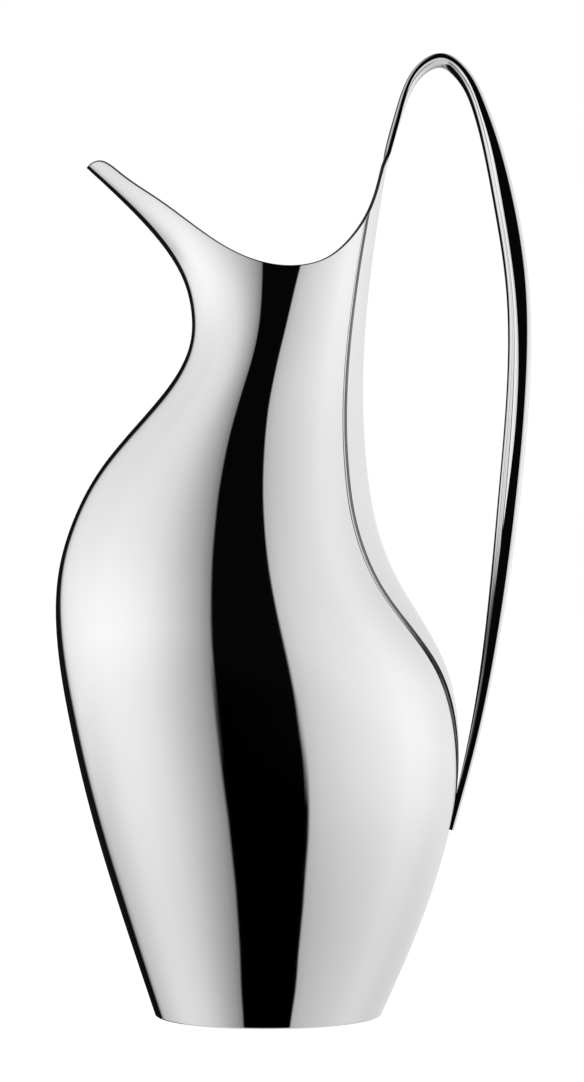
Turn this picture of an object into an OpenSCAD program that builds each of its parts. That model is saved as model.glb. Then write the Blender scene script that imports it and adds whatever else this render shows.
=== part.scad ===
// Water pitcher in polished silver sheet: belly, neck, open spout and looped handle.
// X runs from the spout (-) to the handle (+), Y is across, and Z is up from the table.

/* [Size] */
// Height from the table to the top of the handle
total_height = 290; // [200:1:360]
// Width across the belly, from side to side
belly_across = 89; // [70:1:110]

/* [Sheet] */
// Thickness of the body's sheet
wall = 1; // [0.8:0.1:1.4]
// Radius of the turned-in lower edge
corner = 0.5; // [0.3:0.1:1]
// Width of the flat ring that is turned in under the body
turned_in = 6; // [4:0.5:8]
// Thickness of the bottom plate
plate = 1.2; // [0.8:0.1:2]

/* [Handle] */
// Width of the handle across, at its widest
handle_across = 11; // [9:0.5:13]
// Thickness of the handle at the grip, seen from the side
handle_thick = 6.6; // [5:0.1:7.5]
// Thickness of the sheet in the handle's two strips
handle_wall = 0.8; // [0.6:0.1:1]

/* [Fineness] */
// Meridians of each body half that end on the lip
lip_steps = 24; // [16:1:28]
// Rows up the wall
wall_rows = 40; // [24:1:48]
// Rings along the handle
handle_rings = 57; // [40:1:64]

/* [Hidden] */

size = total_height / 290;    // 1 at the nominal height
breadth = belly_across / 89;  // 1 at the nominal width
root_steps = 4;               // meridians of a half that end under the handle
corner_rows = 3;              // rows round the turned-in lower edge
silver = [0.78, 0.78, 0.8];

// Side view of the body, as [height, x]: the edge under the spout, and the edge towards the handle
spout_edge = [[0, -35], [30, -45], [60, -54.1], [90, -61.1], [118, -64.9], [135, -63.9], [150, -59.4],
    [165, -51.3], [180, -38.9], [192, -29.3], [202, -24.7], [212, -24.1], [224, -27.5], [240, -39.4],
    [258, -58.2]];
back_edge = [[0, 33.2], [25, 44.1], [50, 52.4], [66, 55.8], [80, 56.8], [94, 55.8], [107, 52.2],
    [120, 45.2], [132, 38], [145, 32.7], [165, 29], [187, 27.8], [210, 28.7], [235, 31.6], [258, 35.2]];
// Where each level is widest, as [height, x]
widest = [[0, -1.3], [35, -0.5], [65, -1.2], [95, -4.5], [125, -8], [155, -8.7], [185, -4.8], [205, 0],
    [225, 1.8], [258, 0]];
// Half-width of each level, as [height, y]: drawn in towards the spout, and fuller towards the handle
lower_half = [[0, 24.8], [20, 29.2], [45, 35.4], [70, 39.6], [95, 42.6], [120, 44.6], [145, 41.6],
    [170, 34.2], [195, 26.8]];
spout_half = concat(lower_half, [[210, 22.8], [225, 19.4], [240, 15], [258, 9.5]]);
back_half = concat(lower_half, [[210, 23], [225, 21], [240, 19.5], [258, 18]]);
// Lip in the side view, as [x, height], from the spout's tip to the root of the handle
tip_height = 255.5;
root_height = 253.2;
lip_path = [[-52.3, 257], [-46, 253.6], [-34, 245], [-21, 235.1], [-7.5, 226.8], [6, 223.9],
    [16.6, 226.4], [24.4, 233.2], [29.3, 240.7], [31.9, 247.2], [33.5, root_height]];
// Middle line of the handle in the side view, as [x, height], from its root to its foot
handle_path = [[33.6, root_height], [34.9, 259], [38.6, 272.2], [42, 281], [46, 285.9], [51.2, 288],
    [57.4, 284.2], [63.1, 273.5], [70.3, 246], [74.3, 220], [74.8, 195], [72.2, 160], [66.8, 115], [61.7, 86],
    [54.3, 56]];
// Along the handle from 0 to 1: thickness and width as shares of the largest, and depth of its hollow back
thick_along = [[0, 0.17], [0.02, 0.29], [0.05, 0.35], [0.1, 0.42], [0.135, 0.53], [0.2, 0.61],
    [0.255, 0.79], [0.31, 0.96], [0.4, 1.02], [0.5, 1.02], [0.64, 0.98], [0.74, 0.8], [0.84, 0.57], [0.93, 0.4],
    [1, 0.28]];
across_along = [[0, 0.87], [0.1, 0.95], [0.22, 1], [0.4, 0.96], [0.65, 0.9], [0.85, 0.74], [1, 0.56]];
dish_along = [[0, 0.9], [0.012, 0.3], [0.025, 0], [0.05, 0], [1, 0]];
// Where the seam between the strips lies, from -1 at the inner side to 1 at the outer side
seam_along = [[0, -0.8], [0.05, -0.8], [0.075, -0.55], [0.105, -0.05], [0.135, 0.06], [0.16, 0.02],
    [0.18, -0.12], [0.2, -0.26], [0.25, -0.28], [0.3, -0.33], [0.4, -0.36], [0.5, -0.16], [0.58, -0.14],
    [0.7, -0.45], [0.9, -0.6], [1, -0.8]];
// Slope at which the inner strip leaves the seam, and how much the outer strip tapers towards its back
slant_along = [[0, 0.6], [0.15, 0.6], [0.23, 0.36], [0.6, 0.36], [1, 0.36]];
taper_along = [[0, 0.3], [0.08, 0.3], [0.14, 0], [0.2, 0]];
// Powers that square the strips' sections, where 1 would be an ellipse
outer_fullness = [[0, 0.28], [0.09, 0.28], [0.16, 0.3], [0.25, 0.24], [0.43, 0.25], [0.52, 0.33], [0.62, 0.32],
    [0.72, 0.27], [0.85, 0.27], [1, 0.35]];
inner_fullness = 0.85;
dish_end = 0.025;    // share of the handle where its back is no longer hollow
taper_end = 0.14;    // and where the outer strip no longer tapers
root_blend = 0.025;  // share of the handle over which the lip's shape turns into the handle's
rings_at_root = 0.35; // spacing of the rings at the root, as a share of the mean
foot_height = 70;   // below this height the inner strip may lie on the body
foot_sink = 0.03;   // depth to which the brazed foot beds into the body's facets

// A smooth line through points [t, value], with even curvature at the points
function grade(p, i) = (p[i + 1][1] - p[i][1]) / (p[i + 1][0] - p[i][0]);
function slopes(p, n = 24) =
    n == 0 ? [for (q = p) q[1] * 0] :
    let (m = slopes(p, n - 1), last = len(p) - 1)
    [for (i = [0 : last])
        i == 0 ? (3 * grade(p, 0) - m[1]) / 2 :
        i == last ? (3 * grade(p, last - 1) - m[last - 1]) / 2 :
        let (before = p[i][0] - p[i - 1][0], after = p[i + 1][0] - p[i][0])
        (3 * (after * grade(p, i - 1) + before * grade(p, i)) - after * m[i - 1] - before * m[i + 1])
            / (2 * (before + after))];
function line(p) = [p, slopes(p)];
function at(l, t) =
    let (p = l[0], m = l[1],
        i = max([for (k = [0 : len(p) - 2]) k == 0 || p[k][0] <= t ? k : 0]),
        h = p[i + 1][0] - p[i][0], w = (t - p[i][0]) / h)
    (1 + 2 * w) * pow(1 - w, 2) * p[i][1] + w * pow(1 - w, 2) * h * m[i]
        + w * w * (3 - 2 * w) * p[i + 1][1] + w * w * (w - 1) * h * m[i + 1];

// The same for a path of points, with t from 0 at its start to 1 at its end
function lengths(p, i = 0, sum = 0) =
    i == len(p) - 1 ? [sum] : concat([sum], lengths(p, i + 1, sum + norm(p[i + 1] - p[i])));
function path(p) =
    let (d = lengths(p), whole = d[len(d) - 1])
    line([for (i = [0 : len(p) - 1]) [d[i] / whole, p[i]]]);

function ease(w) = let (v = max(0, min(1, w))) v * v * (3 - 2 * v);
function unit(v) = v / norm(v);
function flip(p) = [p[0], -p[1], p[2]];
function reverse(list) = [for (i = [len(list) - 1 : -1 : 0]) list[i]];

spout_line = line(spout_edge);
back_line = line(back_edge);
widest_line = line(widest);
spout_half_line = line(spout_half);
back_half_line = line(back_half);
lip_line = path(concat([[at(spout_line, tip_height), tip_height]], lip_path));
handle_line = path(handle_path);
thick_line = line(thick_along);
across_line = line(across_along);
dish_line = line(dish_along);
seam_line = line(seam_along);
slant_line = line(slant_along);
taper_line = line(taper_along);
outer_line = line(outer_fullness);

// A level of the body: s runs from -1 at the spout's edge to 1 at the back edge, on the y > 0 side
function level(z, s, inset = 0) =
    let (front = at(spout_line, z), back = at(back_line, z), middle = at(widest_line, z),
        reach = (back - front) / 2, lean = (back + front) / 2 - middle, w = ease((1 + s) / 2),
        half = at(spout_half_line, z) * (1 - w) + at(back_half_line, z) * w)
    [size * (middle + lean * s * s + reach * s) - inset * s,
        (size * breadth * half - inset) * sqrt(max(0, 1 - s * s)), size * z];

// Inverse of a level: the angle round the body, -90 to 90, at which it reaches x
function angle_at(x, z) =
    let (front = at(spout_line, z), back = at(back_line, z), middle = at(widest_line, z),
        reach = (back - front) / 2, lean = (back + front) / 2 - middle)
    asin(max(-1, min(1, 2 * (x - middle) / (reach + sqrt(max(0, reach * reach + 4 * lean * (x - middle)))))));

// Top of each meridian, as [angle, height]
root_angle = angle_at(lip_path[len(lip_path) - 1][0], root_height);
tops = [for (c = [0 : lip_steps + root_steps])
    c > lip_steps ? [root_angle + (90 - root_angle) * (c - lip_steps) / root_steps, root_height] :
    let (q = at(lip_line, c / lip_steps)) [c == 0 ? -90 : angle_at(q[0], q[1]), q[1]]];
columns = len(tops) - 1;

// Outside of one half as rows of points: flat ring, turned-in edge, then the wall up to the lip
corner_z = corner / size;
function ring_row(inset) = [for (c = [0 : columns]) level(0, sin(180 * c / columns - 90), inset)];
function corner_row(a) =
    [for (c = [0 : columns])
        level(corner_z * (1 - sin(a)), sin(180 * c / columns - 90), corner * (1 - cos(a)))];
function wall_row(v) =
    [for (c = [0 : columns])
        let (base = 180 * c / columns - 90, a = base + (tops[c][0] - base) * ease((v - 0.5) * 2))
        level(corner_z + (tops[c][1] - corner_z) * v, sin(a))];
outside = concat(
    [ring_row(corner + turned_in), ring_row(corner)],
    [for (r = [1 : corner_rows]) corner_row(90 - 90 * r / (corner_rows + 1))],
    [for (r = [0 : wall_rows]) wall_row(r / wall_rows)]);
top_row = len(outside) - 1;

// Outward normal at a point of that grid
function around(r, c) =
    c == 0 ? [0, 1, 0] : c == columns ? [0, -1, 0] : outside[r][c + 1] - outside[r][c - 1];
function upward(r, c) = r < 2 ? outside[1][c] - outside[0][c] :
    outside[min(top_row, r + 1)][c] - outside[r - 1][c];
function normal(r, c) = unit(cross(upward(r, c), around(r, c)));
normals = [for (r = [0 : top_row]) [for (c = [0 : columns]) normal(r, c)]];
function inner(r, c) = outside[r][c] - wall * normals[r][c];
// Inside the turned-in edge the sheet has a plain corner
corner_top = corner_rows + 3;
function inner_corner(r, c) =
    let (low = level(0, sin(180 * c / columns - 90), wall) + [0, 0, wall])
    low + (inner(corner_top, c) - low) * (r - 1) / (corner_top - 1);
inside = [for (r = [0 : top_row]) [for (c = [0 : columns])
    r < 1 || r >= corner_top ? inner(r, c) : inner_corner(r, c)]];

// Crest of the rounded lip
function lip_run(c) =
    c == 0 ? [0, 1, 0] : outside[top_row][min(lip_steps, c + 1)] - outside[top_row][c - 1];
function crest(c) =
    (outside[top_row][c] + inside[top_row][c]) / 2 + wall / 2 * unit(cross(lip_run(c), normals[top_row][c]));
crests = [for (c = [0 : lip_steps]) crest(c)];

// Faces of a grid of points that is stored row by row
function grid(rows, across, start = 0) =
    [for (r = [0 : rows - 2], c = [0 : across - 2])
        let (a = start + r * across + c)
        each [[a, a + 1, a + across], [a + 1, a + across + 1, a + across]]];
function turned(faces) = [for (f = faces) reverse(f)];
// Faces between two chains of points of equal length
function band(a, b) =
    [for (i = [0 : len(a) - 2]) each [[a[i], a[i + 1], b[i]], [a[i + 1], b[i + 1], b[i]]]];

module body_half() {
    n = columns + 1;
    skin = len(outside) * n;
    out_top = [for (c = [0 : columns]) top_row * n + c];
    in_top = [for (c = out_top) c + skin];
    lip = [for (c = [0 : lip_steps]) 2 * skin + c];
    lip_out = [for (c = [0 : lip_steps]) out_top[c]];
    lip_in = [for (c = [0 : lip_steps]) in_top[c]];
    cut_out = [for (c = [lip_steps : columns]) out_top[c]];
    cut_in = [for (c = [lip_steps : columns]) in_top[c]];
    out_front = [for (r = [0 : top_row]) r * n];
    out_back = [for (r = [0 : top_row]) r * n + columns];
    out_foot = [for (c = [0 : columns]) c];
    polyhedron(
        points = concat([for (r = outside) each r], [for (r = inside) each r], crests),
        faces = concat(
            grid(len(outside), n), turned(grid(len(outside), n, skin)),
            band(lip_out, lip), band(lip, lip_in), band(cut_out, cut_in),
            [[lip[lip_steps], out_top[lip_steps], in_top[lip_steps]]],
            [[lip[0], in_top[0], out_top[0]]],
            band(out_front, [for (i = out_front) i + skin]),
            turned(band(out_back, [for (i = out_back) i + skin])),
            turned(band(out_foot, [for (i = out_foot) i + skin]))));
}

module body_left() {
    color(silver) mirror([0, 1, 0]) body_half();
}

module body_right() {
    color(silver) body_half();
}

module base_plate() {
    edge = outside[0];
    outline = concat([for (p = edge) [p[0], p[1]]], [for (p = reverse(edge)) if (p[1] > 0.01) [p[0], -p[1]]]);
    color(silver) linear_extrude(plate) polygon(outline);
}

// Section of the handle: a point on its skin, a angle 0 to 180 across, side 1 outer and -1 inner
skin_steps = 2 * root_steps + 2;
function heading(t) = unit(at(handle_line, min(1, t + 0.002)) - at(handle_line, max(0, t - 0.002)));
function placed(t, across, out) =
    let (q = at(handle_line, t), d = heading(t))
    [size * q[0] - d[1] * out, across, size * q[1] + d[0] * out];
function section(t, a, side, inset = 0) =
    let (half = handle_thick / 2 * at(thick_line, t), wide = handle_across / 2 * at(across_line, t),
        seam = at(seam_line, t), power = side > 0 ? at(outer_line, t) : inner_fullness,
        rise = pow(abs(sin(a)), power), dish = t < dish_end ? at(dish_line, t) : 0,
        taper = side > 0 ? max(0, at(taper_line, min(t, taper_end))) * rise * rise : at(slant_line, t) * rise,
        depth = max(0, half * abs(side - seam) - inset),
        across = -sign(cos(a)) * pow(abs(cos(a)), power) * (wide - taper * half - inset))
    placed(t, across, dish * pow(across / wide, 2) + half * seam + side * rise * depth);

// Section at the root, which is the cut edge of the body's two halves
function both(half) = concat([for (p = half) flip(p)], [for (i = [len(half) - 2 : -1 : 0]) half[i]]);
root_outer = both(concat([crests[lip_steps]], [for (c = [lip_steps : columns]) inside[top_row][c]]));
root_inner = both(concat([crests[lip_steps]], [for (c = [lip_steps : columns]) outside[top_row][c]]));
root_seam = both([for (c = [lip_steps : columns]) (inside[top_row][c] + outside[top_row][c]) / 2]);

function moved(list, t) =
    let (d = size * (at(handle_line, t) - at(handle_line, 0)))
    [for (p = list) p + [d[0], 0, d[1]]];
function mixed(a, b, w) = [for (i = [0 : len(a) - 1]) a[i] * (1 - w) + b[i] * w];
function on_body(p) =
    let (z = p[2] / size, half = size * breadth * at(back_half_line, z), s = sqrt(max(0, 1 - pow(p[1] / half, 2))))
    p[2] > size * foot_height ? p : [max(p[0], level(z, s)[0] - foot_sink), p[1], p[2]];
function skin(t, side) =
    let (own = [for (k = [0 : skin_steps]) section(t, 180 * k / skin_steps, side)],
        root = moved(side > 0 ? root_outer : root_inner, t))
    [for (p = mixed(root, own, ease(t / root_blend))) on_body(p)];
function lining(t, side) =
    let (inset = min(handle_wall, handle_thick / 2 * at(thick_line, t)), steps = skin_steps - 2,
        own = [for (k = [0 : steps]) section(t, 180 * k / steps, side, inset)])
    mixed(moved(root_seam, t), own, ease(t / root_blend));

// Faces that close an end of a strip, between its skin and its lining
function strip_end(start) =
    let (lining_start = start + skin_steps + 1, last = skin_steps - 2,
        outer = [for (c = [0 : last]) start + 1 + c], inner = [for (c = [0 : last]) lining_start + c])
    concat([[start, start + 1, lining_start]], band(outer, inner),
        [[start + skin_steps - 1, start + skin_steps, lining_start + last]]);

module handle_strip(side) {
    rings = [for (r = [0 : handle_rings])
        let (w = r / handle_rings, t = w * (rings_at_root + (1 - rings_at_root) * w))
        concat(skin(t, side), lining(t, side))];
    n = len(rings[0]);
    loop = concat([for (c = [0 : skin_steps]) c], [for (c = [n - 1 : -1 : skin_steps + 1]) c], [0]);
    sides = [for (r = [0 : handle_rings - 1])
        each band([for (c = loop) r * n + c], [for (c = loop) (r + 1) * n + c])];
    faces = concat(sides, turned(strip_end(0)), strip_end(handle_rings * n));
    polyhedron(points = [for (r = rings) each r], faces = side > 0 ? faces : turned(faces));
}

module handle_outer() {
    color(silver) handle_strip(1);
}

module handle_inner() {
    color(silver) handle_strip(-1);
}

body_left();
body_right();
base_plate();
handle_outer();
handle_inner();
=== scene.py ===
import math

import bpy
import numpy as np
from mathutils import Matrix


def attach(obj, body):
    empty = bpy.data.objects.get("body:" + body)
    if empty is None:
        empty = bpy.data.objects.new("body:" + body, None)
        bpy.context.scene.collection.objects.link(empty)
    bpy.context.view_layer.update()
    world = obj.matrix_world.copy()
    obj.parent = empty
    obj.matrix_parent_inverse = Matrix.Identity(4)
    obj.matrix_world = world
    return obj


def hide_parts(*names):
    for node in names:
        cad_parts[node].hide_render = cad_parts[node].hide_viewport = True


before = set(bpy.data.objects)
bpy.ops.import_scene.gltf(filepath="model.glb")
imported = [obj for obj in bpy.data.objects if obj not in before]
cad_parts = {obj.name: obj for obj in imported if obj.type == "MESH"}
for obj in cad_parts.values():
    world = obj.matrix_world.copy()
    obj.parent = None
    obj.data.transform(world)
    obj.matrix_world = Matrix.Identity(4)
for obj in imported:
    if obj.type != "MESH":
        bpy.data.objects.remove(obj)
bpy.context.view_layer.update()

# ---------------------------------------------------------------------------------------------
# Sizes of the pitcher, in millimetres. X runs from the spout to the handle, Y across, Z up.

MM = 0.001
INSIDE = 0.9995       # the finely cut pieces stay just inside the solids
WALL = 1.0            # sheet of the body
CORNER = 0.5          # radius of the turned-in lower edge
TURNED_IN = 6.0       # flat ring under the body
PLATE = 1.2           # bottom plate
PLATE_DISH = 0.5      # how far the plate's underside is hollowed
PLATE_EDGE = 0.15     # softened edge of the plate
PLATE_FLAT = 1 - PLATE_EDGE / TURNED_IN / 3   # share of its radius inside that edge
HANDLE_ACROSS = 11.0
HANDLE_THICK = 6.6
HANDLE_WALL = 0.8
INNER_FULLNESS = 0.85  # power that squares the inner strip's section; 1 would be an ellipse
RINGS_AT_ROOT = 0.35  # spacing of the handle's rings at the root, as a share of the mean
DISH_END = 0.025      # share of the handle where its back is no longer hollow
TAPER_END = 0.14      # share of the handle beyond which its outer strip no longer tapers
ROOT_BLEND = 0.025    # share of the handle over which the lip's shape turns into the handle's
FOOT_HEIGHT = 70.0    # below this the inner strip may lie on the body

# How finely the sheets are cut
LIP_STEPS = 96        # meridians of a half that end on the lip
ROOT_STEPS = 16       # meridians of a half that end under the handle
SWING_FROM = 0.5      # share of the wall's height above which they swing over to their ends
FLAT_ROWS = 3         # rows of the flat ring
CORNER_ROWS = 8
WALL_ROWS = 180
EDGE_STEPS = 10       # steps round the lip's rounded edge, an even number
EDGE_FULLNESS = 0.5   # power that squares the lip's edge; 1 would be a half round
HANDLE_RINGS = 360
HEADING_STEP = 0.002  # step along the handle from which its heading is taken
PLATE_RINGS = 24
SLOPE_ROUNDS = 24     # rounds in which the slopes of a smooth line settle

# Side view of the body, as (height, x)
SPOUT_EDGE = [(0, -35), (30, -45), (60, -54.1), (90, -61.1), (118, -64.9), (135, -63.9), (150, -59.4),
              (165, -51.3), (180, -38.9), (192, -29.3), (202, -24.7), (212, -24.1), (224, -27.5),
              (240, -39.4), (258, -58.2)]
BACK_EDGE = [(0, 33.2), (25, 44.1), (50, 52.4), (66, 55.8), (80, 56.8), (94, 55.8), (107, 52.2),
             (120, 45.2), (132, 38), (145, 32.7), (165, 29), (187, 27.8), (210, 28.7), (235, 31.6),
             (258, 35.2)]
# Where each level is widest, as (height, x)
WIDEST = [(0, -1.3), (35, -0.5), (65, -1.2), (95, -4.5), (125, -8), (155, -8.7), (185, -4.8), (205, 0),
          (225, 1.8), (258, 0)]
# Half-width of each level, as (height, y)
LOWER_HALF = [(0, 24.8), (20, 29.2), (45, 35.4), (70, 39.6), (95, 42.6), (120, 44.6), (145, 41.6),
              (170, 34.2), (195, 26.8)]
SPOUT_HALF = LOWER_HALF + [(210, 22.8), (225, 19.4), (240, 15), (258, 9.5)]
BACK_HALF = LOWER_HALF + [(210, 23), (225, 21), (240, 19.5), (258, 18)]
# Lip in the side view, as (x, height), from the spout's tip to the root of the handle
TIP_HEIGHT = 255.5
ROOT_HEIGHT = 253.2
LIP_PATH = [(-52.3, 257), (-46, 253.6), (-34, 245), (-21, 235.1), (-7.5, 226.8), (6, 223.9),
            (16.6, 226.4), (24.4, 233.2), (29.3, 240.7), (31.9, 247.2), (33.5, ROOT_HEIGHT)]
# Middle line of the handle in the side view, as (x, height), from its root to its foot
HANDLE_PATH = [(33.6, ROOT_HEIGHT), (34.9, 259), (38.6, 272.2), (42, 281), (46, 285.9), (51.2, 288),
               (57.4, 284.2), (63.1, 273.5), (70.3, 246), (74.3, 220), (74.8, 195), (72.2, 160), (66.8, 115),
               (61.7, 86), (54.3, 56)]
# Along the handle from 0 to 1: thickness and width as shares of the largest, and depth of its hollow back
THICK_ALONG = [(0, 0.17), (0.02, 0.29), (0.05, 0.35), (0.1, 0.42), (0.135, 0.53), (0.2, 0.61), (0.255, 0.79),
               (0.31, 0.96), (0.4, 1.02), (0.5, 1.02), (0.64, 0.98), (0.74, 0.8), (0.84, 0.57), (0.93, 0.4),
               (1, 0.28)]
ACROSS_ALONG = [(0, 0.87), (0.1, 0.95), (0.22, 1), (0.4, 0.96), (0.65, 0.9), (0.85, 0.74), (1, 0.56)]
DISH_ALONG = [(0, 0.9), (0.012, 0.3), (0.025, 0), (0.05, 0), (1, 0)]
# Where the seam between the strips lies, from -1 at the inner side to 1 at the outer side
SEAM_ALONG = [(0, -0.8), (0.05, -0.8), (0.075, -0.55), (0.105, -0.05), (0.135, 0.06), (0.16, 0.02),
              (0.18, -0.12), (0.2, -0.26), (0.25, -0.28), (0.3, -0.33), (0.4, -0.36), (0.5, -0.16),
              (0.58, -0.14), (0.7, -0.45), (0.9, -0.6), (1, -0.8)]
# How much the inner strip draws in from the seam towards the fingers
SLANT_ALONG = [(0, 0.6), (0.15, 0.6), (0.23, 0.36), (0.6, 0.36), (1, 0.36)]
# How much the outer strip tapers towards its back
TAPER_ALONG = [(0, 0.3), (0.08, 0.3), (0.14, 0), (0.2, 0)]
# Power that squares the outer strip's section
OUTER_FULLNESS = [(0, 0.28), (0.09, 0.28), (0.16, 0.3), (0.25, 0.24), (0.43, 0.25), (0.52, 0.33),
                  (0.62, 0.32), (0.72, 0.27), (0.85, 0.27), (1, 0.35)]

# Painted shade: where these masks are full, the silver is painted near-black and made a little rougher. This
# stands in for shade in corners and in the narrow gap, and for dark reflections along the lip's edge and on
# the fingers' side of the handle
PAINTED_SHADE_CORNER = (18, 30, 52, 72)  # degrees round the outer strip's section between which its corner is painted dark, as shade
PAINTED_SHADE_SIDE = 0.3                 # how dark its side is painted, from 0 to 1
PAINTED_SHADE_RISER = (0.1, 0.16)        # part of the handle over which both end
PAINTED_SHADE_ROOT = (0.01, 0.04)        # part of the handle over which the lip's painted dark edge ends
PAINTED_SHADE_FINGERS = (0.35, 0.72)     # share of the inner strip's half-width over which its painted dark middle ends
PAINTED_SHADE_INNER = 0.8                # how dark the inner strip is painted where the fingers go, a painted reflection of the body
PAINTED_SHADE_FOOT = (0.64, 0.8)         # part of the handle over which it is painted dark all over, as shade in the narrow gap


# ---------------------------------------------------------------------------------------------
# Smooth lines

def line(points):
    """A smooth line through points (t, value...), with even curvature at the points."""
    t = np.array([p[0] for p in points], float)
    v = np.array([p[1:] for p in points], float)
    h = np.diff(t)[:, None]
    grade = np.diff(v, axis=0) / h
    slope = np.zeros_like(v)
    for _ in range(SLOPE_ROUNDS):
        last = slope.copy()
        slope[0] = (3 * grade[0] - last[1]) / 2
        slope[-1] = (3 * grade[-1] - last[-2]) / 2
        slope[1:-1] = (3 * (h[1:] * grade[:-1] + h[:-1] * grade[1:])
                       - h[1:] * last[:-2] - h[:-1] * last[2:]) / (2 * (h[:-1] + h[1:]))

    def at(x):
        x = np.asarray(x, float)
        i = np.clip(np.searchsorted(t, x, side="right") - 1, 0, len(t) - 2)
        step = (t[i + 1] - t[i])[..., None]
        w = (x - t[i])[..., None] / step
        value = ((1 + 2 * w) * (1 - w) ** 2 * v[i] + w * (1 - w) ** 2 * step * slope[i]
                 + w * w * (3 - 2 * w) * v[i + 1] + w * w * (w - 1) * step * slope[i + 1])
        return value[..., 0] if v.shape[1] == 1 else value

    return at


def path(points):
    """A smooth line along points in the side view, with t from 0 at its start to 1 at its end."""
    p = np.array(points, float)
    run = np.concatenate([[0], np.cumsum(np.linalg.norm(np.diff(p, axis=0), axis=1))])
    return line(np.column_stack([run / run[-1], p]))


def ease(w):
    """From 0 to 1 with a soft start and end."""
    w = np.clip(w, 0, 1)
    return w * w * (3 - 2 * w)


def unit(v):
    return v / np.linalg.norm(v, axis=-1, keepdims=True)


def flip(p):
    """Mirror image across the plane through the spout and the handle."""
    return p * np.array([1, -1, 1])


spout_edge = line(SPOUT_EDGE)
back_edge = line(BACK_EDGE)
widest = line(WIDEST)
spout_half = line(SPOUT_HALF)
back_half = line(BACK_HALF)
lip = path([(float(spout_edge(TIP_HEIGHT)), TIP_HEIGHT)] + LIP_PATH)
handle_line = path(HANDLE_PATH)
thick_along = line(THICK_ALONG)
across_along = line(ACROSS_ALONG)
dish_along = line(DISH_ALONG)
seam_along = line(SEAM_ALONG)
slant_along = line(SLANT_ALONG)
taper_along = line(TAPER_ALONG)
outer_fullness = line(OUTER_FULLNESS)


# ---------------------------------------------------------------------------------------------
# The body as a surface

def level(z, s, inset=0.0):
    """A level of the body: s runs from -1 at the spout's edge to 1 at the back, on the y > 0 side."""
    front, back, middle = spout_edge(z), back_edge(z), widest(z)
    reach, lean = (back - front) / 2, (back + front) / 2 - middle
    w = ease((1 + s) / 2)
    half = spout_half(z) * (1 - w) + back_half(z) * w
    x = middle + lean * s * s + (reach - inset) * s
    y = (half - inset) * np.sqrt(np.clip(1 - s * s, 0, 1))
    return np.stack([x, y, z + 0 * s], -1)


def share_at(x, z):
    """Inverse of a level: the s at which it reaches x."""
    front, back, middle = spout_edge(z), back_edge(z), widest(z)
    reach, lean = (back - front) / 2, (back + front) / 2 - middle
    root = np.sqrt(np.clip(reach ** 2 + 4 * lean * (x - middle), 0, None))
    return np.clip(2 * (x - middle) / (reach + root), -1, 1)


COLUMNS = LIP_STEPS + ROOT_STEPS


def meridian_tops():
    """Angle round the body and height at which each meridian ends."""
    q = lip(np.arange(LIP_STEPS + 1) / LIP_STEPS)
    angle = np.degrees(np.arcsin(share_at(q[:, 0], q[:, 1])))
    angle[0] = -90
    under = angle[-1] + (90 - angle[-1]) * np.arange(1, ROOT_STEPS + 1) / ROOT_STEPS
    height = np.concatenate([q[:, 1], np.full(ROOT_STEPS, ROOT_HEIGHT)])
    return np.concatenate([angle, under]), height


def outer_rows():
    """Outside of one half, row by row: flat ring, turned-in edge, then the wall up to the lip."""
    top_angle, top_height = meridian_tops()
    base = 180 * np.arange(COLUMNS + 1) / COLUMNS - 90
    around = np.sin(np.radians(base))
    floor = np.zeros(COLUMNS + 1)
    rows = []
    for r in range(FLAT_ROWS):
        rows.append(level(floor, around, CORNER + TURNED_IN * (1 - r / (FLAT_ROWS - 1))))
    for r in range(1, CORNER_ROWS):
        a = math.radians(90 - 90 * r / CORNER_ROWS)
        rows.append(level(floor + CORNER * (1 - math.sin(a)), around, CORNER * (1 - math.cos(a))))
    for r in range(WALL_ROWS + 1):
        v = r / WALL_ROWS
        angle = base + (top_angle - base) * ease((v - SWING_FROM) / (1 - SWING_FROM))
        rows.append(level(CORNER + (top_height - CORNER) * v, np.sin(np.radians(angle))))
    return np.array(rows)


def outer_normals(rows):
    """Outward normals of those rows, which are even across the seam between the two halves."""
    up = np.empty_like(rows)
    up[1:-1] = rows[2:] - rows[:-2]
    up[0], up[1], up[-1] = rows[1] - rows[0], rows[1] - rows[0], rows[-1] - rows[-2]
    across = np.empty_like(rows)
    across[:, 1:-1] = rows[:, 2:] - rows[:, :-2]
    across[:, 0], across[:, -1] = (0, 1, 0), (0, -1, 0)
    return unit(np.cross(up, across))


def inner_rows():
    """Inside of one half; over the turned-in edge it is a plain corner."""
    rows = outer - WALL * outer_n
    start, end = FLAT_ROWS - 1, FLAT_ROWS + CORNER_ROWS
    around = np.sin(np.radians(180 * np.arange(COLUMNS + 1) / COLUMNS - 90))
    corner = level(np.zeros(COLUMNS + 1), around, WALL) + [0, 0, WALL]
    for r in range(start, end):
        rows[r] = corner + (rows[end] - corner) * (r - start) / (end - start)
    return rows


outer = outer_rows()
outer_n = outer_normals(outer)
inner = inner_rows()


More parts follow.
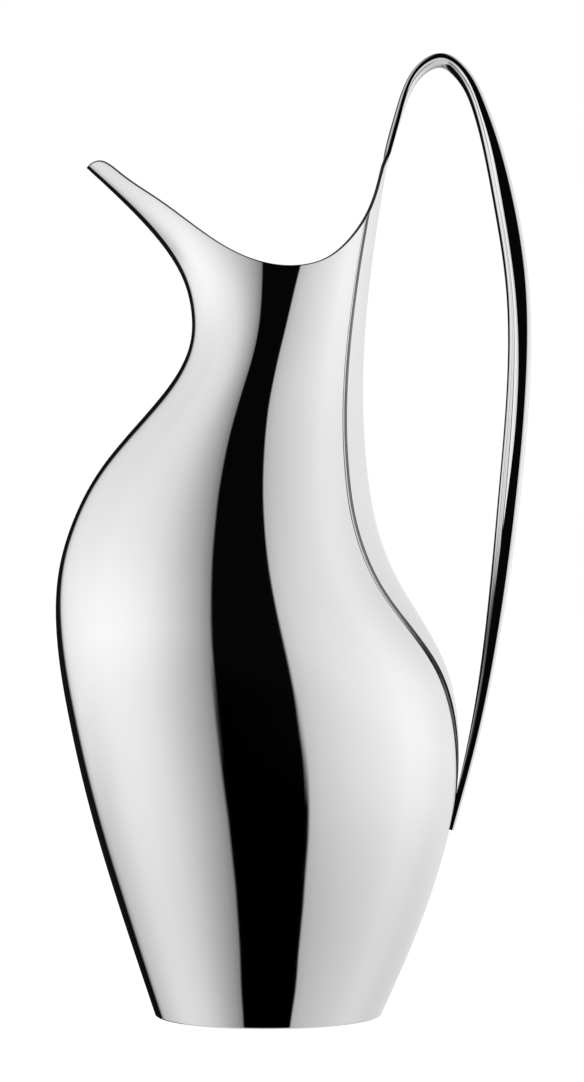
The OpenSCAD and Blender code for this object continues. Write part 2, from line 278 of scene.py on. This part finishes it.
def lip_edge():
    """Points and normals round the lip's rounded edge, from the outside to the inside, by meridian."""
    top, n = outer[-1], outer_n[-1]
    run = np.empty_like(top)
    run[1:-1] = top[2:] - top[:-2]
    run[0], run[-1] = (0, 1, 0), (0, -1, 0)
    run[LIP_STEPS] = top[LIP_STEPS] - top[LIP_STEPS - 1]
    out = unit(np.cross(run, n))
    middle = top - n * WALL / 2
    is_lip = (np.arange(COLUMNS + 1) <= LIP_STEPS)[:, None]
    points, normals = [], []
    for k in range(1, EDGE_STEPS):
        a = math.pi * k / EDGE_STEPS
        across = 0
        if k != EDGE_STEPS // 2:
            across = math.copysign(abs(math.cos(a)) ** EDGE_FULLNESS, math.cos(a))
        rise = math.sin(a) ** EDGE_FULLNESS
        lean = math.copysign(abs(across) ** (2 / EDGE_FULLNESS - 1), across)
        points.append(middle + n * across * WALL / 2 + out * rise * is_lip * WALL / 2)
        normals.append(unit(n * lean + out * rise ** (2 / EDGE_FULLNESS - 1)))
    return np.array(points), np.array(normals)


edge, edge_n = lip_edge()


# ---------------------------------------------------------------------------------------------
# Meshes from rows of points

def make_piece(name, points, faces, normals=None, ends=(), painted_shade=None):
    """A mesh with the given normals and painted shade at its points, and flat faces where it was cut off."""
    mesh = bpy.data.meshes.new(name)
    places = [tuple(p) for p in points * MM * INSIDE]
    mesh.from_pydata(places, [], [tuple(int(i) for i in f) for f in faces + list(ends)])
    mesh.shade_smooth()
    if painted_shade is not None:
        # per-point mask of painted shade and painted reflection
        marked = mesh.attributes.new("painted_shade", "FLOAT", "POINT")
        marked.data.foreach_set("value", painted_shade.ravel().astype(np.float32))
    if normals is not None:
        smooth = unit(normals)
        corners = []
        for polygon in mesh.polygons:
            flat = polygon.index >= len(faces)
            for i in polygon.vertices:
                corners.append(tuple(polygon.normal) if flat else tuple(smooth[i]))
        mesh.normals_split_custom_set(corners)
    piece = bpy.data.objects.new(name, mesh)
    bpy.context.scene.collection.objects.link(piece)
    return piece


def grid_faces(index):
    """Four-sided faces between neighbouring rows of an array of point numbers."""
    a, b, c, d = index[:-1, :-1], index[:-1, 1:], index[1:, 1:], index[1:, :-1]
    return np.stack([a, b, c, d], -1).reshape(-1, 4).tolist()


def fit_out(piece, node, material):
    """The piece takes the place of its solid, in its own metal."""
    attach(piece, "root")
    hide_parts(node)
    piece.data.materials.append(material)
    return piece


def body_half(name, node, side, material):
    """One pressed half: each meridian is a closed loop up the outside, over the lip and down the inside."""
    points = np.concatenate([outer, edge, inner[::-1]])
    normals = np.concatenate([outer_n, edge_n, -outer_n[::-1]])
    loops, count = points.shape[0], COLUMNS + 1
    painted_shade = np.zeros((loops, count))
    # the lip's rounded edge is painted near-black, a painted dark reflection along the rim
    painted_shade[len(outer):len(outer) + len(edge)] = 1
    index = np.arange(loops * count).reshape(loops, count)
    faces = grid_faces(np.concatenate([index, index[:1]]))
    last = len(outer) - 1
    ends = []
    for column, turn in ((0, 1), (COLUMNS, -1)):
        chain = index[:, column]
        for r in range(last):
            ends.append([chain[r], chain[r + 1], chain[loops - 2 - r], chain[loops - 1 - r]][::turn])
        ends.append(list(chain[last:loops - last])[::turn])
    if side > 0:
        faces = [f[::-1] for f in faces]
        ends = [f[::-1] for f in ends]
    else:
        points, normals = flip(points), flip(normals)
    piece = make_piece(name, points.reshape(-1, 3), faces, normals.reshape(-1, 3), ends, painted_shade)
    return fit_out(piece, node, material)


def bottom_plate(material):
    """The plate in the bottom, a little hollow underneath."""
    half = outer[0]
    outline = np.concatenate([half, flip(half)[-2:0:-1]])
    centre = np.array([(outline[:, 0].min() + outline[:, 0].max()) / 2, 0, 0])
    spokes = outline - centre
    shares = [PLATE_FLAT * k / PLATE_RINGS for k in range(1, PLATE_RINGS + 1)]
    rings = [centre + spokes * f + [0, 0, PLATE_DISH * (1 - f * f) ** 2] for f in shares]
    rings.append(outline + [0, 0, PLATE_EDGE])
    rings.append(outline + [0, 0, PLATE - PLATE_EDGE])
    rings += [centre + spokes * f + [0, 0, PLATE] for f in reversed(shares)]
    points = np.array(rings)
    n = len(outline)
    index = np.arange(len(rings) * n).reshape(len(rings), n)
    faces = grid_faces(np.column_stack([index, index[:, :1]]))
    low, high = len(rings) * n, len(rings) * n + 1
    for c in range(n):
        d = (c + 1) % n
        faces.append([low, index[0, d], index[0, c]])
        faces.append([high, index[-1, c], index[-1, d]])
    middles = [centre + [0, 0, PLATE_DISH], centre + [0, 0, PLATE]]
    points = np.concatenate([points.reshape(-1, 3), middles])
    piece = make_piece("bottom_plate", points, [f[::-1] for f in faces])
    return fit_out(piece, "base_plate", material)


# ---------------------------------------------------------------------------------------------
# The handle

SKIN_STEPS = 2 * ROOT_STEPS + EDGE_STEPS   # steps round a strip's skin, from seam to seam
skin_angle = np.pi * np.arange(SKIN_STEPS + 1) / SKIN_STEPS


def placed(t, across, out):
    """A point beside the handle's middle line: across it, and out from it, away from the fingers."""
    q = handle_line(t)
    ahead, behind = np.clip(t + HEADING_STEP, 0, 1), np.clip(t - HEADING_STEP, 0, 1)
    heading = unit(handle_line(ahead) - handle_line(behind))
    x = q[..., 0] - heading[..., 1] * out
    z = q[..., 1] + heading[..., 0] * out
    return np.stack([x, across + 0 * x, z], -1)


def section(t, angle, side, inset=0.0):
    """A point on the handle's skin, or on its lining if inset: side 1 is the outer strip, -1 the inner."""
    half = HANDLE_THICK / 2 * thick_along(t)
    wide = HANDLE_ACROSS / 2 * across_along(t)
    dish = np.where(t < DISH_END, dish_along(t), 0)
    seam = seam_along(t)
    power = outer_fullness(t) if side > 0 else INNER_FULLNESS
    rise = np.abs(np.sin(angle)) ** power
    if side > 0:
        taper = np.clip(taper_along(np.minimum(t, TAPER_END)), 0, None) * rise ** 2
    else:
        taper = slant_along(t) * rise
    depth = np.clip(half * abs(side - seam) - inset, 0, None)
    across = -np.sign(np.cos(angle)) * np.abs(np.cos(angle)) ** power * (wide - taper * half - inset)
    lift = dish * (across / wide) ** 2
    return placed(t, across, lift + half * seam + side * rise * depth)


def root_loop(near):
    """The cut edge of the body, across both halves, from the seam on one side to the seam on the other."""
    return np.concatenate([flip(near), near[-2::-1]])


def root_skin(side):
    """Points and normals of the cut edge's outside (side -1) or inside (side 1)."""
    cut = slice(LIP_STEPS, COLUMNS + 1)
    half = EDGE_STEPS // 2
    if side < 0:
        corner, face, face_n = range(half - 1, -1, -1), outer[-1, cut], outer_n[-1, cut]
    else:
        corner, face, face_n = range(half - 1, EDGE_STEPS - 1), inner[-1, cut], -outer_n[-1, cut]
    points = np.concatenate([[edge[k, LIP_STEPS] for k in corner], face])
    normals = np.concatenate([[edge_n[k, LIP_STEPS] for k in corner], face_n])
    return root_loop(points), root_loop(normals)


def on_body(p):
    """The handle's foot lies on the body instead of cutting into it."""
    z = np.clip(p[..., 2], 0, FOOT_HEIGHT)
    s = np.sqrt(np.clip(1 - (p[..., 1] / back_half(z)) ** 2, 0, 1))
    x = np.where(p[..., 2] < FOOT_HEIGHT, np.maximum(p[..., 0], level(z, s)[..., 0]), p[..., 0])
    return np.stack([x, p[..., 1], p[..., 2]], -1)


# Where the rings lie along the handle, how far each has moved from the root, and how far it has blended
ring_share = np.arange(HANDLE_RINGS + 1) / HANDLE_RINGS
ring_t = ring_share * (RINGS_AT_ROOT + (1 - RINGS_AT_ROOT) * ring_share)
moved = np.zeros((HANDLE_RINGS + 1, 1, 3))
moved[:, 0, [0, 2]] = handle_line(ring_t) - handle_line(np.array(0.0))
blend = ease(ring_t / ROOT_BLEND)[:, None, None]


def handle_skin(side):
    """The skin of a strip, which starts as the body's cut edge and turns into the handle's own section."""
    own = section(ring_t[:, None] + 0 * skin_angle, skin_angle, side)
    return on_body((root_skin(side)[0] + moved) * (1 - blend) + own * blend)


def handle_lining(side):
    """The side of a strip that faces the hollow."""
    steps = 2 * ROOT_STEPS
    angle = np.pi * np.arange(steps + 1) / steps
    inset = np.minimum(HANDLE_WALL, HANDLE_THICK / 2 * thick_along(ring_t))[:, None]
    own = section(ring_t[:, None] + 0 * angle, angle, side, inset)
    cut = slice(LIP_STEPS, COLUMNS + 1)
    seam = root_loop((outer[-1, cut] + inner[-1, cut]) / 2)
    return (seam + moved) * (1 - blend) + own * blend


def strip_normals(skin, side):
    """Outward normals of a strip's skin, which start at its root as the normals of the body's cut edge."""
    along = np.gradient(skin, axis=0)
    across = np.empty_like(skin)
    across[:, 1:-1] = skin[:, 2:] - skin[:, :-2]
    across[:, 0], across[:, -1] = skin[:, 1] - skin[:, 0], skin[:, -1] - skin[:, -2]
    n = unit(np.cross(along, across)) * side
    n[0] = root_skin(side)[1]
    return n


def fade(value, limits):
    """From 1 to 0 between two limits, or from 0 to 1 if they are given the other way round."""
    return ease((limits[1] - value) / (limits[1] - limits[0]))


def strip_painted_shade(side):
    """How much painted shade a strip gets, from 0 to 1.

    Both are painted dark along the seams near the root, carrying on the lip's painted reflection. The outer
    strip is painted dark along the riser's corners as shade, and the inner one where the fingers go, as a
    painted reflection of the body, and in the narrow gap above the foot, as shade.
    """
    t = ring_t[:, None]
    step = np.arange(SKIN_STEPS + 1)
    from_seam = np.minimum(step, SKIN_STEPS - step)
    # painted dark reflection along the seams, carried on from the lip's edge
    root = (from_seam <= EDGE_STEPS // 2) * fade(t, PAINTED_SHADE_ROOT)
    if side > 0:
        # painted shade along the riser's corners and its side
        turn = np.degrees(np.minimum(skin_angle, np.pi - skin_angle))
        corner = fade(turn, PAINTED_SHADE_CORNER[1::-1]) * fade(turn, PAINTED_SHADE_CORNER[2:])
        flat_side = PAINTED_SHADE_SIDE * fade(turn, PAINTED_SHADE_CORNER[2:])
        return np.maximum(root, fade(t, PAINTED_SHADE_RISER) * np.maximum(corner, flat_side))
    share = np.abs(np.cos(skin_angle)) ** INNER_FULLNESS
    # painted shade in the narrow gap above the foot
    gap = fade(t, PAINTED_SHADE_FOOT[::-1])
    most = PAINTED_SHADE_INNER + (1 - PAINTED_SHADE_INNER) * gap
    # painted reflection of the dark body on the fingers' side
    fingers = most * fade(share, PAINTED_SHADE_FINGERS) * fade(t, PAINTED_SHADE_ROOT[::-1])
    return np.maximum(root, np.maximum(fingers, PAINTED_SHADE_INNER * gap))


def handle_strip(name, node, side, material):
    """One strip of the hollow handle: side 1 is the outer one, -1 the inner one."""
    skin = handle_skin(side)
    skin_n = strip_normals(skin, side)
    lining = handle_lining(side)[:, ::-1]
    points = np.concatenate([skin, lining], axis=1)
    rings, n = points.shape[:2]
    index = np.arange(rings * n).reshape(rings, n)
    faces = grid_faces(np.column_stack([index, index[:, :1]]))
    lead = EDGE_STEPS // 2
    ends = []
    for ring, turn in ((index[0], -1), (index[-1], 1)):
        top, under = ring[lead:SKIN_STEPS + 1 - lead], ring[:SKIN_STEPS:-1]
        first = list(ring[:lead + 1]) + [under[0]]
        final = [under[-1]] + list(ring[SKIN_STEPS - lead:SKIN_STEPS + 1])
        closing = [first, final]
        for c in range(len(under) - 1):
            closing.append([top[c], top[c + 1], under[c + 1], under[c]])
        ends += [f[::turn] for f in closing]
    lining_n = np.zeros_like(lining)
    lining_n[:] = -skin_n[:, SKIN_STEPS // 2][:, None]
    normals = np.concatenate([skin_n, lining_n], axis=1).reshape(-1, 3)
    # painted shade and painted reflection on the skin, none on the lining
    painted_shade = np.concatenate([strip_painted_shade(side), np.zeros(lining.shape[:2])], axis=1)
    if side > 0:
        faces = [f[::-1] for f in faces]
        ends = [f[::-1] for f in ends]
    piece = make_piece(name, points.reshape(-1, 3), faces, normals, ends, painted_shade)
    return fit_out(piece, node, material)


# ---------------------------------------------------------------------------------------------
# Materials

MIRROR_COLOUR = (0.95, 0.95, 0.945, 1)
# Near-black colour painted on the silver where the masks are full: painted shade and painted dark reflection
PAINTED_SHADE_COLOUR = (0.05, 0.05, 0.052, 1)
SATIN_COLOUR = (0.9, 0.9, 0.895, 1)
MIRROR_SMOOTH = 0.02          # roughness between the wheel marks
PAINTED_SHADE_ROUGH = 0.1              # roughness that is added where the painted shade is full
MARK_SIZE = 900               # scale of the wheel marks' pattern, the larger the finer
MARK_DRAWN = 0.06             # the same along Z as a share, so that they are drawn out
MARK_RANGE = (0.35, 0.75)     # part of the pattern that shows
# Scale of the planishing waves, how deep they are, and the roughness of a wheel mark
BODY_POLISH = {"wave_size": 34, "wave_depth": 0.12 * MM, "marked": 0.045}
HANDLE_POLISH = {"wave_size": 60, "wave_depth": 0.03 * MM, "marked": 0.05}
# Roughness of the satin underside between the marks and in them, and the scale of its marks
SATIN_SMOOTH = 0.25
SATIN_MARKED = 0.4
SATIN_MARK_SIZE = 500
BRUSH_SIZE = 2500             # scale of the brushed circles, the larger the finer
BRUSH_DEPTH = 0.03 * MM
BRUSH_STRENGTH = 0.4


def set_inputs(node, **values):
    """Give a node's inputs their values, with _ for a space; another node's output is linked."""
    for key, value in values.items():
        socket = node.inputs[key.replace("_", " ")]
        if isinstance(value, bpy.types.NodeSocket):
            node.id_data.links.new(value, socket)
        else:
            socket.default_value = value


def add(tree, kind, settings=(), **inputs):
    """A new node with (name, value) settings and then its inputs."""
    node = tree.nodes.new(kind)
    for key, value in settings:
        setattr(node, key, value)
    set_inputs(node, **inputs)
    return node


def calculate(tree, operation, *values):
    """The result of a sum on numbers and other nodes' outputs."""
    node = add(tree, "ShaderNodeMath", [("operation", operation)])
    for socket, value in zip(node.inputs, values):
        if isinstance(value, bpy.types.NodeSocket):
            tree.links.new(value, socket)
        else:
            socket.default_value = value
    return node.outputs[0]


def rescale(tree, source, low, high, first, last):
    """The source from low to high turned into a value from first to last."""
    node = add(tree, "ShaderNodeMapRange", Value=source, From_Min=low, From_Max=high)
    set_inputs(node, To_Min=first, To_Max=last)
    return node.outputs["Result"]


def blend_colours(tree, how, share, under, over):
    """One colour laid over another by a share of it."""
    settings = [("data_type", "RGBA"), ("blend_type", how)]
    return add(tree, "ShaderNodeMix", settings, Factor=share, A=under, B=over).outputs["Result"]


def polish_and_shade_group():
    """Hand polish: slow waves left by planishing and faint wheel marks, with painted shade: the colour turns
    near-black and the roughness rises where the mask given to it is full.
    """
    group = bpy.data.node_groups.new("polish_and_painted_shade", "ShaderNodeTree")
    for name in ("Wave size", "Mark size", "Smooth", "Marked", "Dull"):
        group.interface.new_socket(name, in_out="INPUT", socket_type="NodeSocketFloat")
    for name in ("Bright", "Dark"):
        group.interface.new_socket(name, in_out="INPUT", socket_type="NodeSocketColor")
    group.interface.new_socket("Color", in_out="OUTPUT", socket_type="NodeSocketColor")
    for name in ("Roughness", "Height"):
        group.interface.new_socket(name, in_out="OUTPUT", socket_type="NodeSocketFloat")
    given = add(group, "NodeGroupInput").outputs
    where = add(group, "ShaderNodeTexCoord").outputs["Object"]

    waves = add(group, "ShaderNodeTexNoise", Vector=where, Scale=given["Wave size"], Detail=1, Roughness=0.4)

    drawn = add(group, "ShaderNodeMapping", Vector=where, Scale=(1, 1, MARK_DRAWN)).outputs["Vector"]
    marks = add(group, "ShaderNodeTexNoise", Vector=drawn, Scale=given["Mark size"], Detail=3, Roughness=0.6)
    marked = rescale(group, marks.outputs["Fac"], *MARK_RANGE, given["Smooth"], given["Marked"])
    roughness = calculate(group, "MULTIPLY_ADD", given["Dull"], PAINTED_SHADE_ROUGH, marked)

    # painted shade and painted reflection: the bright silver turns near-black by the mask
    colour = blend_colours(group, "MIX", given["Dull"], given["Bright"], given["Dark"])
    add(group, "NodeGroupOutput", Color=colour, Roughness=roughness, Height=waves.outputs["Fac"])
    return group


def mirror_silver(name, polish_and_shade, wave_size, wave_depth, marked):
    """Polished silver, painted near-black as shade and dark reflection, and made a little rougher, where the
    pieces carry the painted shade mask.
    """
    metal = bpy.data.materials.new(name)
    metal.use_nodes = True
    tree = metal.node_tree
    # mask of painted shade and painted reflection carried by the pieces
    painted_shade = add(tree, "ShaderNodeAttribute", [("attribute_name", "painted_shade")]).outputs["Fac"]
    finish = add(tree, "ShaderNodeGroup", [("node_tree", polish_and_shade)], Wave_size=wave_size, Mark_size=MARK_SIZE,
                 Smooth=MIRROR_SMOOTH, Marked=marked, Dull=painted_shade, Bright=MIRROR_COLOUR, Dark=PAINTED_SHADE_COLOUR)
    waves = add(tree, "ShaderNodeBump", Strength=1, Distance=wave_depth, Height=finish.outputs["Height"])
    set_inputs(tree.nodes["Principled BSDF"], Metallic=1, Base_Color=finish.outputs["Color"],
               Roughness=finish.outputs["Roughness"], Normal=waves.outputs["Normal"])
    return metal


def brushed_silver(name, polish_and_shade):
    """Satin silver, brushed in circles round the middle of the bottom."""
    metal = bpy.data.materials.new(name)
    metal.use_nodes = True
    tree = metal.node_tree
    finish = add(tree, "ShaderNodeGroup", [("node_tree", polish_and_shade)], Mark_size=SATIN_MARK_SIZE,
                 Smooth=SATIN_SMOOTH, Marked=SATIN_MARKED)
    where = add(tree, "ShaderNodeTexCoord").outputs["Object"]
    flat = add(tree, "ShaderNodeMapping", Vector=where, Scale=(1, 1, 0)).outputs["Vector"]
    radius = add(tree, "ShaderNodeVectorMath", [("operation", "LENGTH")], Vector=flat).outputs["Value"]
    circles = add(tree, "ShaderNodeTexNoise", [("noise_dimensions", "1D")], W=radius, Scale=BRUSH_SIZE,
                  Detail=2)
    brushing = add(tree, "ShaderNodeBump", Strength=BRUSH_STRENGTH, Distance=BRUSH_DEPTH,
                   Height=circles.outputs["Fac"])
    set_inputs(tree.nodes["Principled BSDF"], Metallic=1, Base_Color=SATIN_COLOUR,
               Roughness=finish.outputs["Roughness"], Normal=brushing.outputs["Normal"])
    return metal


# ---------------------------------------------------------------------------------------------
# Studio

CAMERA_DISTANCE = 800 * MM
CAMERA_HEIGHT = 143 * MM
CAMERA_X = 6.3 * MM
FRAME_HEIGHT = 326.8 * MM     # what the picture takes in, from top to bottom, at the pitcher
SENSOR = 36
CLIP = (0.01, 50)

# Brightness of the studio round the pitcher, by direction in degrees: 0 is towards the camera and 90 to
# the right
ROUND_ABOUT = [(-180, 0.88), (-176, 0.88), (-172, 0.01), (-144, 0.005), (-139, 0.62), (-133, 0.8),
               (-126, 0.87), (-108, 0.94), (-82, 1.0), (-65, 0.97), (-52, 0.9), (-42, 0.77), (-32, 0.59),
               (-24, 0.43), (-18.2, 0.26), (-17.2, 0.002), (17, 0.002), (17.8, 0.56), (25, 0.68), (40, 0.79),
               (55, 0.86), (75, 0.96), (90, 0.94), (110, 0.87), (140, 0.84), (160, 0.82), (180, 0.88)]
LEAN = 28                     # degrees by which the dark gap behind on the left leans over
LEANING = (-125, -100)        # directions between which this ends
# The same by height, as a share: -1 is straight down, 0 the horizon and 1 straight up
BY_HEIGHT = [(-1, 0.6), (-0.6, 0.73), (-0.42, 0.82), (-0.26, 0.93), (-0.09, 1), (0.09, 0.97), (0.26, 0.91),
             (0.42, 0.85), (0.58, 0.8), (0.72, 0.76), (0.79, 0.7), (0.88, 0.25), (1, 0.12)]
# What is left of it low down, by direction, and the heights over which this ends
LOW_DOWN = [(-180, 0.6), (-128, 0.76), (-107, 0.82), (-86, 0.95), (-72, 1), (-19.4, 1), (-18.6, 0.01),
            (18.4, 0.01), (19.1, 1), (180, 1)]
LOW_HEIGHTS = (-0.34, -0.22)
TABLE_BRIGHTNESS = 0.62
TABLE_HEIGHTS = (-0.8, -0.74)  # heights over which the table ends

FLOOR_REACH = 4               # metres
PAPER_COLOUR = (0.8, 0.8, 0.8, 1)
PAPER_ROUGH = 0.9
PAPER_GLOW = 0.75
WHITE = (1, 1, 1, 1)


def ramp(tree, points, low, high, source):
    """A grey ramp over (place, brightness) points, with place from low to high."""
    node = add(tree, "ShaderNodeValToRGB", Fac=rescale(tree, source, low, high, 0, 1))
    stops = node.color_ramp.elements
    while len(stops) > 1:
        stops.remove(stops[-1])
    for k, (place, value) in enumerate(points):
        share = (place - low) / (high - low)
        stop = stops[0] if k == 0 else stops.new(share)
        stop.position = share
        stop.color = (value, value, value, 1)
    return node.outputs["Color"]


def studio_light():
    """A soft studio that depends on direction only, and a white backdrop for the camera."""
    world = bpy.data.worlds.new("studio")
    world.use_nodes = True
    tree = world.node_tree
    tree.nodes.clear()
    where = add(tree, "ShaderNodeTexCoord").outputs["Generated"]
    parts = add(tree, "ShaderNodeSeparateXYZ", Vector=where).outputs
    height = parts["Z"]
    to_camera = calculate(tree, "MULTIPLY", parts["Y"], -1)
    direction = calculate(tree, "DEGREES", calculate(tree, "ARCTAN2", parts["X"], to_camera))
    lean = rescale(tree, direction, *LEANING, LEAN, 0)
    leaning = calculate(tree, "MULTIPLY_ADD", lean, height, direction)

    round_about = ramp(tree, ROUND_ABOUT, -180, 180, leaning)
    by_height = ramp(tree, BY_HEIGHT, -1, 1, height)
    low_down = ramp(tree, LOW_DOWN, -180, 180, direction)
    how_low = rescale(tree, height, *LOW_HEIGHTS, 1, 0)
    how_steep = rescale(tree, height, *TABLE_HEIGHTS, 1, 0)
    table = (TABLE_BRIGHTNESS, TABLE_BRIGHTNESS, TABLE_BRIGHTNESS, 1)
    room = blend_colours(tree, "MULTIPLY", 1, round_about, by_height)
    room = blend_colours(tree, "MULTIPLY", how_low, room, low_down)
    room = blend_colours(tree, "MIX", how_steep, room, table)

    light = add(tree, "ShaderNodeBackground", Color=room)
    backdrop = add(tree, "ShaderNodeBackground", Color=WHITE)
    to_eye = add(tree, "ShaderNodeLightPath").outputs["Is Camera Ray"]
    either = add(tree, "ShaderNodeMixShader", Fac=to_eye)
    tree.links.new(light.outputs[0], either.inputs[1])
    tree.links.new(backdrop.outputs[0], either.inputs[2])
    add(tree, "ShaderNodeOutputWorld", Surface=either.outputs[0])
    bpy.context.scene.world = world


def studio_floor():
    """Plain white paper, which the silver doesn't mirror."""
    corners = [(x * FLOOR_REACH, y * FLOOR_REACH, 0) for x, y in ((-1, -1), (1, -1), (1, 1), (-1, 1))]
    mesh = bpy.data.meshes.new("floor")
    mesh.from_pydata(corners, [], [(0, 1, 2, 3)])
    floor = bpy.data.objects.new("floor", mesh)
    bpy.context.scene.collection.objects.link(floor)
    floor.visible_glossy = False
    paper = bpy.data.materials.new("white_paper")
    paper.use_nodes = True
    set_inputs(paper.node_tree.nodes["Principled BSDF"], Base_Color=PAPER_COLOUR, Roughness=PAPER_ROUGH,
               Specular_IOR_Level=0, Emission_Color=WHITE, Emission_Strength=PAPER_GLOW)
    mesh.materials.append(paper)


def studio_camera():
    """Level with the belly, straight from the side."""
    data = bpy.data.cameras.new("camera")
    data.sensor_width = SENSOR
    data.lens = SENSOR * CAMERA_DISTANCE / FRAME_HEIGHT
    data.clip_start, data.clip_end = CLIP
    camera = bpy.data.objects.new("camera", data)
    camera.location = (CAMERA_X, -CAMERA_DISTANCE, CAMERA_HEIGHT)
    camera.rotation_euler = (math.radians(90), 0, 0)
    bpy.context.scene.collection.objects.link(camera)
    bpy.context.scene.camera = camera


studio_camera()
studio_light()
studio_floor()
bpy.context.scene.view_settings.view_transform = "Standard"

polish_and_shade = polish_and_shade_group()
body_silver = mirror_silver("body_silver", polish_and_shade, **BODY_POLISH)
handle_silver = mirror_silver("handle_silver", polish_and_shade, **HANDLE_POLISH)
base_silver = brushed_silver("base_silver", polish_and_shade)
body_half("left_half", "body_left", -1, body_silver)
body_half("right_half", "body_right", 1, body_silver)
bottom_plate(base_silver)
handle_strip("outer_strip", "handle_outer", 1, handle_silver)
handle_strip("inner_strip", "handle_inner", -1, handle_silver)
